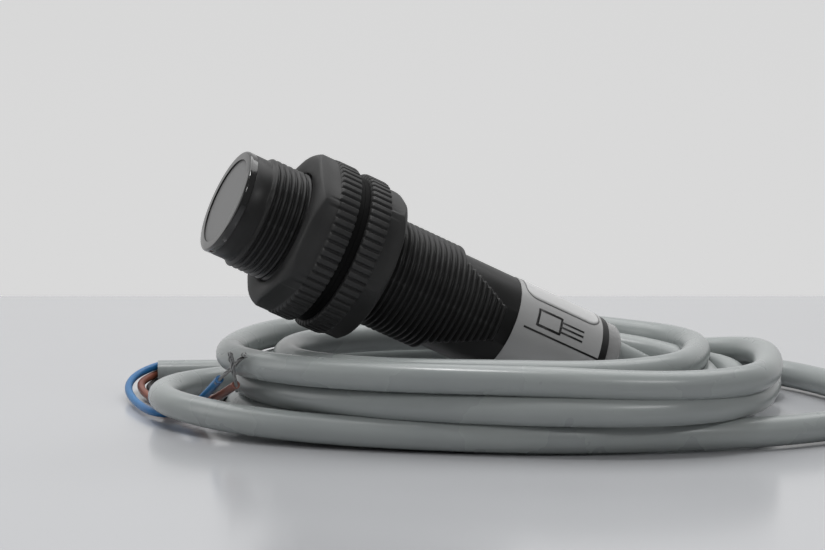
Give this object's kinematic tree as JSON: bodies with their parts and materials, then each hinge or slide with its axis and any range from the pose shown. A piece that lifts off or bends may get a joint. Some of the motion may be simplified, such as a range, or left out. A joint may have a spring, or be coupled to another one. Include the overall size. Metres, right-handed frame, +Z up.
{
  "type": "cylindrical proximity sensor",
  "caption": "Threaded cylindrical proximity sensor with clamp nuts, translucent rear cap and a loosely coiled cable with stripped cores.",
  "frame": {"origin": "centre of the bounding box's bottom without the loose cable, on the table, where the rear cap's lower rim stands", "axes": "+Z up, +X along the table below the sensor's axis from its sensing face to its cable end, which lies lower; -Y is the side that faces the viewer"},
  "size_m": [0.1188, 0.0897, 0.0439],
  "materials": {
    "black_plastic": "satin moulded black plastic",
    "gloss_black": "polished black plastic",
    "window_grey": "smooth grey filter window",
    "nut_black": "fine-grained moulded black plastic",
    "rubber_black": "matt rubber",
    "clear_plastic": "clear moulded lens",
    "board_green": "solder-masked laminate",
    "component_black": "moulded component bodies",
    "component_tan": "ceramic bodies",
    "trimmer_blue": "moulded trimmer case",
    "brass": "turned brass",
    "resin": "cast resin",
    "clamp_metal": "crimped metal",
    "cap_grey": "translucent grey plastic",
    "label_silver": "silver film",
    "cable_grey": "grey cable sheath",
    "core_brown": "brown core insulation",
    "core_blue": "blue core insulation",
    "core_black": "black core insulation",
    "tinned": "tinned strands"
  },
  "bodies": {
    "sensor_body": {"housing": "black_plastic", "front_bezel": "gloss_black", "front_window": "window_grey", "bezel_seal": "rubber_black", "optics_holder": "black_plastic", "emitter_lens": "clear_plastic", "receiver_lens": "clear_plastic", "emitter_led": "clear_plastic", "receiver_photodiode": "component_black", "circuit_board": "board_green", "sensor_ic": "component_black", "output_transistor": "component_black", "voltage_regulator": "component_black", "capacitors": "component_tan", "resistors": "component_black", "protection_diodes": "component_black", "indicator_led": "clear_plastic", "trimmer_body": "trimmer_blue", "potting_resin": "resin", "cable_clamp": "clamp_metal", "cable_grommet": "rubber_black", "rear_cap": "cap_grey", "lead_brown": "core_brown", "lead_black": "core_black", "lead_blue": "core_blue", "type_label": "label_silver", "cable_lead": "cable_grey", "cable_coil": "cable_grey", "cable_tail": "cable_grey", "core_brown": "core_brown", "core_blue": "core_blue", "core_black": "core_black", "tip_brown": "tinned", "tip_blue": "tinned", "tip_black": "tinned"},
    "front_washer": {"front_washer": "nut_black"},
    "front_nut": {"front_nut": "nut_black"},
    "rear_washer": {"rear_washer": "nut_black"},
    "rear_nut": {"rear_nut": "nut_black"},
    "trimmer_screw": {"trimmer_screw": "brass"}
  },
  "joints": [
    {"name": "front_washer_travel", "type": "slide", "parent": "sensor_body", "child": "front_washer", "axis": [-0.9041, 0, 0.4274], "range_m": [0, 0.006]},
    {"name": "front_nut_turn", "type": "hinge", "parent": "front_washer", "child": "front_nut", "pos_m": [-0.01843, 0, 0.03042], "axis": [-0.9041, 0, 0.4274], "range_deg": [0, 2160]},
    {"name": "rear_washer_travel", "type": "slide", "parent": "sensor_body", "child": "rear_washer", "axis": [0.9041, 0, -0.4274], "range_m": [0, 0.01]},
    {"name": "rear_nut_turn", "type": "hinge", "parent": "rear_washer", "child": "rear_nut", "pos_m": [-0.0112, 0, 0.027], "axis": [0.9041, 0, -0.4274], "range_deg": [0, 3600]},
    {"name": "trimmer_turn", "type": "hinge", "parent": "sensor_body", "child": "trimmer_screw", "pos_m": [0.02145, 0, 0.00715], "axis": [0.9041, 0, -0.4274], "range_deg": [-135, 135]}
  ],
  "couplings": [
    {"joint": "front_washer_travel", "follows": "front_nut_turn", "m_per_rad": 0.00015915},
    {"joint": "rear_washer_travel", "follows": "rear_nut_turn", "m_per_rad": 0.00015915}
  ]
}
